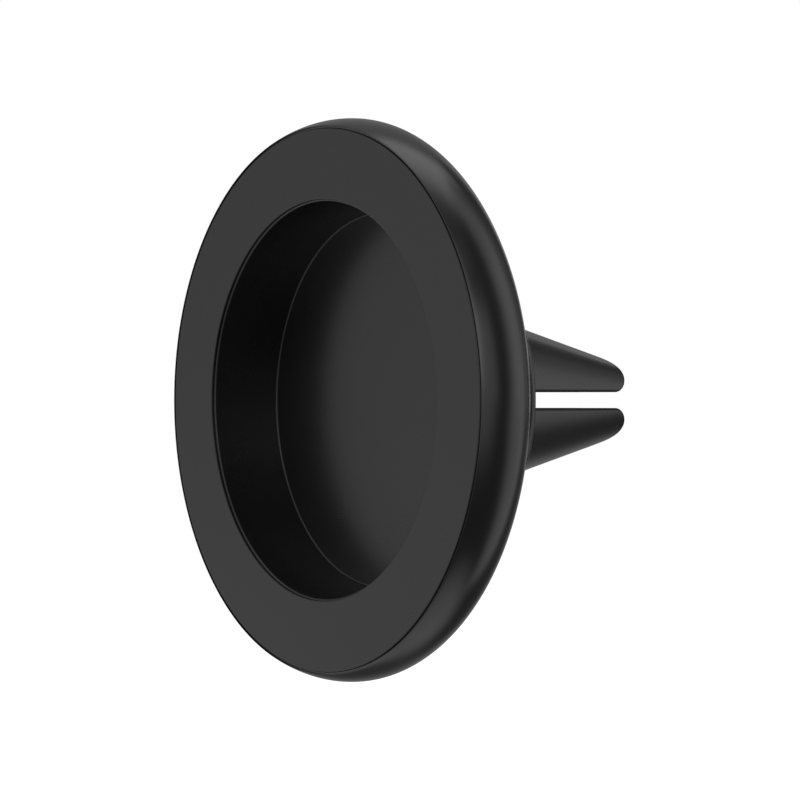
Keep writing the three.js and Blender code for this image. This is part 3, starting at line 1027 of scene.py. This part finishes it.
def prong_stations(clip, start, inset, tip, nose, mouth):
    """Places of the cross sections, from the root to where the rounded faces meet at the tip."""
    widest = tip - mouth
    low, high = widest, tip
    for _ in range(PRONG_TIP_SEARCHES):
        middle = (low + high) / 2
        faces = slot_faces(clip, middle, inset, tip, mouth)
        gap = cone_radius(clip, middle, inset, tip, nose) - math.hypot(*faces)
        low, high = (middle, high) if gap > THINNEST_TIP else (low, middle)
    end_turn = math.asin((low - widest) / mouth)
    turns = [end_turn * step / PRONG_TIP_STEPS for step in range(PRONG_TIP_STEPS + 1)]
    straight = [start, start + SUPPORT, *(start + (widest - start) * part for part in LENGTH_PARTS)]
    return [*straight, widest - SUPPORT, *(widest + mouth * math.sin(turn) for turn in turns)]


def prong_skin(clip, signs):
    """Rubber skin of a prong, open at the root."""
    tip = clip.flange_front + clip.flange + clip.reach
    outside = {"inset": 0, "tip": tip, "nose": clip.nose, "mouth": clip.slot_mouth}
    edge = clip.corner
    sections = [
        quarter_ring(clip, signs, y, **outside)
        for y in reversed(prong_stations(clip, clip.skin_start + edge, **outside))
    ]
    for step in range(1, PRONG_CORNER_STEPS + 1):
        turn = QUARTER_TURN * step / PRONG_CORNER_STEPS
        y = clip.skin_start + edge * (1 - math.sin(turn))
        shrink = edge * (1 - math.cos(turn))
        sections.append(quarter_ring(clip, signs, y, shrink=shrink, **outside))
    inside = {
        "inset": clip.skin,
        "tip": clip.spine_end + clip.skin_clearance,
        "nose": clip.spine_rounding,
        "mouth": clip.spine_rounding,
    }
    for y in prong_stations(clip, clip.skin_start, **inside):
        sections.append(quarter_ring(clip, signs, y, **inside))
    return lofted(sections)


def prong_spine(clip, signs):
    """Stiff spine of a prong, rooted in its socket."""
    form = {
        "inset": clip.skin + clip.skin_clearance,
        "tip": clip.spine_end,
        "nose": clip.spine_rounding,
        "mouth": clip.spine_rounding,
    }
    stations = prong_stations(clip, clip.spine_start, **form)
    return lofted([quarter_ring(clip, signs, y, **form) for y in stations])


def prong_sockets(clip):
    """The four sockets as one cutting solid that reaches past the end of the collar."""
    form = {"inset": clip.skin, "tip": clip.collar_end + clip.reach, "nose": clip.nose, "mouth": clip.nose}
    ends = (clip.spine_start - clip.skin_clearance, clip.collar_end + clip.skin)
    bm = bmesh.new()
    for signs in QUADRANTS:
        block(bm, [quarter_ring(clip, signs, y, **form) for y in ends])
    return tidied(bm)


# The stage

def facing(azimuth, elevation):
    """Direction from the object, by its turn from +X towards +Y and its height."""
    flat = math.cos(elevation)
    return Vector((flat * math.cos(azimuth), flat * math.sin(azimuth), math.sin(elevation)))


def aimed(obj, azimuth, elevation, distance):
    """Set an object round the mount, looking at it along its own -Z."""
    direction = facing(math.radians(azimuth), math.radians(elevation))
    obj.location = direction * distance
    obj.rotation_euler = direction.to_track_quat("Z", "Y").to_euler()


def sheet(width, height, segments=1):
    """A flat sheet about the origin, as a bmesh."""
    bm = bmesh.new()
    bmesh.ops.create_grid(bm, x_segments=segments, y_segments=segments, size=0.5)
    bmesh.ops.scale(bm, vec=(width, height, 1), verts=bm.verts)
    return bm


def softbox(name, azimuth, elevation, width, height, radiance):
    """A soft lamp. Its radiance is told against a white background of 1."""
    lamp = bpy.data.lights.new(name, "AREA")
    lamp.shape = "RECTANGLE"
    lamp.size, lamp.size_y = width, height
    lamp.energy = WATTS_FOR_WHITE * width * height * radiance
    aimed(added(name, lamp), azimuth, elevation, LAMP_DISTANCE)


def painted_reflection_card(name, bm, paint):
    """A glowing card that only reflections see, as a studio sets round a black object: a painted reflection.
    """
    mesh = mesh_of(name, bm)
    material = bpy.data.materials.new(name)
    graph = Graph(material)
    grey, cover = paint(graph)
    # The grey glows, and only gloss sees it: a painted reflection, not a lamp
    glow = graph.add("ShaderNodeEmission", None, {"Strength": grey})
    clear = graph.add("ShaderNodeBsdfTransparent")
    soft = graph.add("ShaderNodeMixShader", None, {0: cover, 1: clear, 2: glow})
    graph.add("ShaderNodeOutputMaterial", None, {"Surface": soft})
    mesh.materials.append(material)
    obj = added(name, mesh)
    for ray in ("camera", "diffuse", "transmission", "volume_scatter", "shadow"):
        setattr(obj, f"visible_{ray}", False)
    return obj


def flag(name, azimuth, elevation, width, height, grey, soft=0.06, distance=0.9):
    """A standing glowing card of one grey, with soft edges: a painted reflection."""

    def paint(graph):
        across, up = graph.place("X"), graph.place("Y")
        sides = graph.ramp(width / 2 - across.size(), 0, soft)
        ends = graph.ramp(height / 2 - up.size(), 0, soft)
        return grey, sides * ends

    aimed(painted_reflection_card(name, sheet(width, height), paint), azimuth, elevation, distance)


def painted_reflection_table(stage):
    """A glowing card on the floor round the mount, seen only in reflections: dark, with a painted pool of
    light under the rim and a lighter painted strip, all painted reflections.
    """

    def paint(graph):
        east, north = graph.place("X"), graph.place("Y")
        turn = graph.maths("ARCTAN2", north, east)
        strip_turn = graph.maths("ARCTAN2", north - stage.strip_y, east - stage.strip_x)
        off = (strip_turn - stage.strip_turn).size()
        # The lighter strip and the pool under the rim are painted reflections, glowing on a card that only
        # gloss sees
        strip = 1 - graph.ramp(off, stage.strip_half - stage.strip_soft, stage.strip_half + stage.strip_soft)
        pool_across = (east - stage.pool_x) / stage.pool_width
        pool_along = (north - stage.pool_y) / stage.pool_depth
        pool = 1 - graph.ramp(graph.reach(pool_across, pool_along), stage.pool_start, stage.pool_end)
        beyond = graph.ramp(north, stage.behind_near, stage.behind_far)
        behind = graph.ramp(turn, stage.behind_start, stage.behind_end) * beyond
        plain = span(behind, stage.table_grey, stage.behind_grey)
        grey = plain | strip * stage.strip_grey | pool
        towards = graph.maths("COSINE", turn - stage.table_turn)
        sector = graph.ramp(towards, math.cos(stage.table_end), math.cos(stage.table_open))
        far = graph.ramp(graph.reach(east, north), stage.open_near, stage.open_far)
        opening = far * (1 - graph.ramp(turn, stage.open_left, stage.open_right))
        return span(sector * (1 - opening), stage.open_grey, grey), 1.0

    laid = painted_reflection_card("painted_reflection_table", sheet(stage.floor_size, stage.floor_size), paint)
    laid.location.z = stage.floor_height + stage.table_lift


def seen_rays(graph):
    """1 on rays that see the background: from the camera, or by gloss or glass."""
    kinds = ("Camera", "Glossy", "Transmission")
    camera, glossy, glass = (graph.add("ShaderNodeLightPath", output=f"Is {kind} Ray") for kind in kinds)
    return camera | glossy | glass


def make_camera(stage):
    """Camera at the photograph's viewing angle."""
    camera = bpy.data.cameras.new("camera")
    camera.lens = stage.lens
    camera.sensor_width = SENSOR_WIDTH
    camera.shift_x, camera.shift_y = stage.shift_across, stage.shift_up
    camera.clip_start, camera.clip_end = NEAREST, FARTHEST
    right = facing(stage.camera_turn, 0)
    forward = facing(stage.camera_turn + QUARTER_TURN, 0)
    obj = added("camera", camera)
    face_centre = Vector((0, front_of("face_cup"), 0))
    obj.location = face_centre + right * stage.camera_offset - forward * stage.camera_distance
    obj.rotation_euler = forward.to_track_quat("-Z", "Y").to_euler()
    bpy.context.scene.camera = obj


def make_world(stage):
    """White where it is seen, and a plain level of light from all round."""
    world = bpy.data.worlds.new("studio")
    bpy.context.scene.world = world
    graph = Graph(world)
    strength = span(seen_rays(graph), stage.ambient, 1)
    sky = graph.add("ShaderNodeBackground", None, {"Color": (1, 1, 1, 1), "Strength": strength})
    graph.add("ShaderNodeOutputWorld", None, {"Surface": sky})


def make_floor(stage):
    """Plain pale floor that keeps the object's shadow."""
    mesh = mesh_of("floor", sheet(stage.floor_size, stage.floor_size, segments=8))
    material = bpy.data.materials.new("floor")
    graph = Graph(material)
    matt = graph.add("ShaderNodeBsdfPrincipled", None, {
        "Base Color": shade((1, 1, 1), stage.floor_grey),
        "Roughness": span(graph.noise(size=0.02), start=0.9, end=0.95),
        "Specular IOR Level": 0.0,
    })
    strength = stage.floor_lift * seen_rays(graph)
    lift = graph.add("ShaderNodeEmission", None, {"Color": (1, 1, 1, 1), "Strength": strength})
    both = graph.add("ShaderNodeAddShader", None, {0: matt, 1: lift})
    graph.add("ShaderNodeOutputMaterial", None, {"Surface": both})
    mesh.materials.append(material)
    floor = added("floor", mesh)
    floor.location.z = stage.floor_height


def make_lamps():
    """Three soft lamps, with angles in degrees and sizes in metres."""
    softbox("lamp_overhead", azimuth=140, elevation=76, width=0.6, height=0.5, radiance=0.6)
    softbox("lamp_side", azimuth=53, elevation=10, width=0.42, height=1.4, radiance=0.25)
    softbox("lamp_key", azimuth=-30, elevation=20, width=0.4, height=0.5, radiance=0.9)


def make_flags():
    """Glowing grey cards round the mount, seen only in its gloss, which keep the white background out of it:
    painted reflections.
    """
    flag("flag_right", azimuth=109, elevation=10, width=0.44, height=1.7, grey=0.1)
    flag("flag_near", azimuth=88, elevation=14, width=0.3, height=2.4, grey=0.3, distance=0.95)
    flag("flag_far", azimuth=150, elevation=14, width=0.9, height=2.2, grey=0.34, distance=1.0)
    flag("flag_behind", azimuth=183, elevation=8, width=1.5, height=2.8, grey=0.3, soft=0.4, distance=1.02)
    flag("flag_left", azimuth=18, elevation=20, width=0.56, height=2.4, grey=0.12, soft=0.16)
    flag(
        "flag_left_high", azimuth=-8, elevation=44, width=0.44, height=0.4, grey=0.25,
        soft=0.12, distance=0.88,
    )
    flag(
        "flag_overhead", azimuth=-28, elevation=68, width=0.6, height=0.5, grey=0.3,
        soft=0.12, distance=0.86,
    )


class MOUNT_OT_stage(bpy.types.Operator):
    """Set up the camera, the pale floor and the studio light"""

    bl_idname = "mount.stage"
    bl_label = "Stage"

    def execute(self, context):
        stage = context.scene.phone_mount.stage
        context.scene.view_settings.view_transform = "Standard"
        make_camera(stage)
        make_world(stage)
        make_floor(stage)
        painted_reflection_table(stage)
        make_lamps()
        make_flags()
        return {"FINISHED"}


class MOUNT_OT_face_moulding(bpy.types.Operator):
    """Turn the flat face, the mouth and the recess, with the ribs between the magnets"""

    bl_idname = "mount.face_moulding"
    bl_label = "Face Moulding"

    def execute(self, context):
        mount = context.scene.phone_mount
        face, magnets = mount.face, mount.magnets
        plate_back = face.front + face.plate
        inner, outer = magnets.inner_radius, magnets.inner_radius + magnets.width
        rib = [
            (inner, plate_back - OVERLAP),
            (outer, plate_back - OVERLAP),
            (outer, plate_back + magnets.rib_height),
            (inner, plate_back + magnets.rib_height),
        ]
        moulding = ribbed(face_outline(mount), rib, magnets.number, magnets.rib_width, first=0.5)
        fit("face_moulding", moulding, "head", "face_moulding", "face_cup")
        return {"FINISHED"}


class MOUNT_OT_shell_moulding(bpy.types.Operator):
    """Turn the rim, the back and the neck, with the ribbed bearing boss inside"""

    bl_idname = "mount.shell_moulding"
    bl_label = "Shell Moulding"

    def execute(self, context):
        mount = context.scene.phone_mount
        shell = mount.shell
        outline = [*shell_outside(mount), *shell_inside(mount)]
        moulding = ribbed(outline, boss_rib_outline(mount), shell.boss_ribs, shell.boss_rib_width, first=0)
        fit("shell_moulding", moulding, "head", "shell_moulding", "body_shell")
        return {"FINISHED"}


class MOUNT_OT_magnet_tiles(bpy.types.Operator):
    """Set the ring of plated arc magnets"""

    bl_idname = "mount.magnet_tiles"
    bl_label = "Magnet Tiles"

    def execute(self, context):
        magnets = context.scene.phone_mount.magnets
        inner, outer = magnets.inner_radius, magnets.inner_radius + magnets.width
        half = HALF_TURN / magnets.number - magnets.spacing / (2 * inner)
        corners = [
            (inner, magnets.front),
            (outer, magnets.front),
            (outer, magnets.back),
            (inner, magnets.back),
        ]
        for index, node in enumerate(nodes_named("magnet_")):
            # The tiles follow each other from +X towards -Z
            middle = -TURN * index / magnets.number
            sections = []
            for step in range(TILE_STEPS + 1):
                turn = middle + half * (2 * step / TILE_STEPS - 1)
                sections.append([round_axis(radius, y, turn) for radius, y in corners])
            tile = lofted(sections)
            edges = [edge for edge in tile.edges if edge.calc_face_angle(0) > SHARP_ANGLE]
            bmesh.ops.bevel(
                tile, geom=edges, offset=magnets.edge, segments=TILE_EDGE_STEPS, profile=0.5, affect="EDGES",
            )
            fit(f"magnet_tile_{index + 1:02d}", tile, "head", "magnet_nickel", node)
        return {"FINISHED"}


class MOUNT_OT_flux_ring(bpy.types.Operator):
    """Turn the steel ring behind the magnets"""

    bl_idname = "mount.flux_ring"
    bl_label = "Flux Ring"

    def execute(self, context):
        magnets = context.scene.phone_mount.magnets
        outer = reach_of("yoke_ring")
        overhang = outer - magnets.inner_radius - magnets.width
        inner = magnets.inner_radius - overhang
        ring = flat_ring("yoke_ring", inner, outer, magnets.yoke_edge)
        fit("flux_ring", ring, "head", "plated_steel", "yoke_ring")
        return {"FINISHED"}


class MOUNT_OT_glide_washer(bpy.types.Operator):
    """Turn the washer that carries the head on the flange"""

    bl_idname = "mount.glide_washer"
    bl_label = "Glide Washer"

    def execute(self, context):
        swivel = context.scene.phone_mount.swivel
        washer = flat_ring("glide_ring", swivel.glide_inner, swivel.glide_outer, swivel.glide_edge)
        fit("glide_washer", washer, "head", "glide_acetal", "glide_ring")
        return {"FINISHED"}


class MOUNT_OT_clip_moulding(bpy.types.Operator):
    """Turn the spindle, the flange and the collar, and cut the four prong sockets"""

    bl_idname = "mount.clip_moulding"
    bl_label = "Clip Moulding"

    def execute(self, context):
        mount = context.scene.phone_mount
        body = turned(supported(hub_outline(mount)), BODY_SIDES)
        moulding = combined(body, prong_sockets(mount.clip), "DIFFERENCE")
        fit("clip_moulding", moulding, "clip", "clip_moulding", "clip_hub")
        return {"FINISHED"}


class MOUNT_OT_spring_washer(bpy.types.Operator):
    """Bend the wave spring that loads the swivel"""

    bl_idname = "mount.spring_washer"
    bl_label = "Spring Washer"

    def execute(self, context):
        swivel = context.scene.phone_mount.swivel
        front, back = front_of("wave_spring"), back_of("wave_spring")
        strip = swivel.spring_strip
        rise = (back - front - strip) / 2
        middle = (front + back) / 2
        flat = bar(swivel.spring_inner, swivel.spring_outer, -strip / 2, strip / 2, swivel.spring_edge)

        def waved(turn):
            lift = middle + rise * math.cos(swivel.spring_waves * (QUARTER_TURN - turn))
            return [(radius, lift + y) for radius, y in supported(flat)]

        fit("spring_washer", turned(waved, BODY_SIDES), "clip", "plated_steel", "wave_spring")
        return {"FINISHED"}


class MOUNT_OT_clamp_washer(bpy.types.Operator):
    """Turn the steel washer that the screw clamps to the spindle"""

    bl_idname = "mount.clamp_washer"
    bl_label = "Clamp Washer"

    def execute(self, context):
        swivel = context.scene.phone_mount.swivel
        inner, outer = swivel.hole_radius, swivel.washer_radius
        washer = flat_ring("retaining_washer", inner, outer, swivel.washer_edge)
        fit("clamp_washer", washer, "clip", "plated_steel", "retaining_washer")
        return {"FINISHED"}


class MOUNT_OT_pan_screw(bpy.types.Operator):
    """Roll the thread of the low-head screw and press its hexagon drive"""

    bl_idname = "mount.pan_screw"
    bl_label = "Pan Screw"

    def execute(self, context):
        swivel = context.scene.phone_mount.swivel
        front, seat, end = front_of("swivel_screw"), front_of("retaining_washer"), back_of("swivel_screw")
        edge, pitch = swivel.head_edge, swivel.thread_pitch
        steps = round((end - seat) / pitch * THREAD_STEPS)

        def outline(turn):
            shank = []
            for step in range(1, steps + 1):
                along = (end - seat) * step / steps
                phase = (along / pitch - turn / TURN) % 1
                flank = min(1, THREAD_FLANK * abs(phase - 0.5))
                fade = min(1, along / pitch, (end - seat - along) / pitch)
                taper = max(0, 1 - (end - seat - along) / pitch)
                depth = swivel.thread_depth * (1 - (1 - flank) * fade)
                radius = swivel.shank_radius - depth - THREAD_END * swivel.thread_depth * taper
                shank.append((radius, seat + along))
            return [
                (0, front),
                *arc((swivel.head_radius - edge, front + edge), edge, -QUARTER_TURN, 0),
                (swivel.head_radius, seat),
                (swivel.shank_radius - swivel.thread_depth, seat),
                *shank,
                (0, end),
            ]

        hexagon = bmesh.new()
        turns = [TURN * side / HEXAGON_SIDES for side in range(HEXAGON_SIDES)]
        block(hexagon, [
            [round_axis(swivel.drive_radius, y, turn) for turn in turns]
            for y in (front - swivel.drive_depth, front + swivel.drive_depth)
        ])
        screw = combined(turned(outline, SCREW_SIDES), tidied(hexagon), "DIFFERENCE")
        fit("pan_screw", screw, "clip", "plated_steel", "swivel_screw")
        return {"FINISHED"}


class MOUNT_OT_prong_spines(bpy.types.Operator):
    """Loft the four stiff spines that root in the collar"""

    bl_idname = "mount.prong_spines"
    bl_label = "Prong Spines"

    def execute(self, context):
        clip = context.scene.phone_mount.clip
        for number, signs in enumerate(QUADRANTS, 1):
            spine = prong_spine(clip, signs)
            fit(f"prong_spine_{number}", spine, f"prong_{number}", "core_nylon", f"prong_core_{number}")
        return {"FINISHED"}


class MOUNT_OT_prong_skins(bpy.types.Operator):
    """Loft the four rubber skins of the split cone"""

    bl_idname = "mount.prong_skins"
    bl_label = "Prong Skins"

    def execute(self, context):
        clip = context.scene.phone_mount.clip
        for number, signs in enumerate(QUADRANTS, 1):
            skin = prong_skin(clip, signs)
            fit(f"prong_skin_{number}", skin, f"prong_{number}", "prong_rubber", f"prong_boot_{number}")
        return {"FINISHED"}


class MOUNT_PT_panel(bpy.types.Panel):
    """Builds the phone mount, piece by piece."""

    bl_idname = "MOUNT_PT_panel"
    bl_label = "Phone Mount"
    bl_space_type = "VIEW_3D"
    bl_region_type = "UI"
    bl_category = "Phone Mount"

    def draw(self, context):
        for operator in OPERATORS:
            self.layout.operator(operator.bl_idname)
        mount = context.scene.phone_mount
        for group in mount.bl_rna.properties:
            if group.type == "POINTER" and group.identifier != "rna_type":
                box = self.layout.box()
                box.label(text=group.name)
                settings = getattr(mount, group.identifier)
                for setting in settings.bl_rna.properties:
                    if setting.identifier not in ("rna_type", "name"):
                        box.prop(settings, setting.identifier)


GROUPS = (
    MOUNT_PG_face,
    MOUNT_PG_magnets,
    MOUNT_PG_shell,
    MOUNT_PG_swivel,
    MOUNT_PG_clip,
    MOUNT_PG_finishes,
    MOUNT_PG_stage,
    MOUNT_PG_mount,
)
OPERATORS = (
    MOUNT_OT_stage,
    MOUNT_OT_face_moulding,
    MOUNT_OT_shell_moulding,
    MOUNT_OT_magnet_tiles,
    MOUNT_OT_flux_ring,
    MOUNT_OT_glide_washer,
    MOUNT_OT_clip_moulding,
    MOUNT_OT_spring_washer,
    MOUNT_OT_clamp_washer,
    MOUNT_OT_pan_screw,
    MOUNT_OT_prong_spines,
    MOUNT_OT_prong_skins,
)
CLASSES = (*GROUPS, *OPERATORS, MOUNT_PT_panel)


def register():
    for cls in CLASSES:
        bpy.utils.register_class(cls)
    bpy.types.Scene.phone_mount = bpy.props.PointerProperty(type=MOUNT_PG_mount)


def unregister():
    del bpy.types.Scene.phone_mount
    for cls in reversed(CLASSES):
        bpy.utils.unregister_class(cls)


def main():
    """Build the stage and every piece."""
    register()
    bpy.ops.mount.stage()
    bpy.ops.mount.face_moulding()
    bpy.ops.mount.shell_moulding()
    bpy.ops.mount.magnet_tiles()
    bpy.ops.mount.flux_ring()
    bpy.ops.mount.glide_washer()
    bpy.ops.mount.clip_moulding()
    bpy.ops.mount.spring_washer()
    bpy.ops.mount.clamp_washer()
    bpy.ops.mount.pan_screw()
    bpy.ops.mount.prong_spines()
    bpy.ops.mount.prong_skins()


if __name__ == "__main__":
    main()
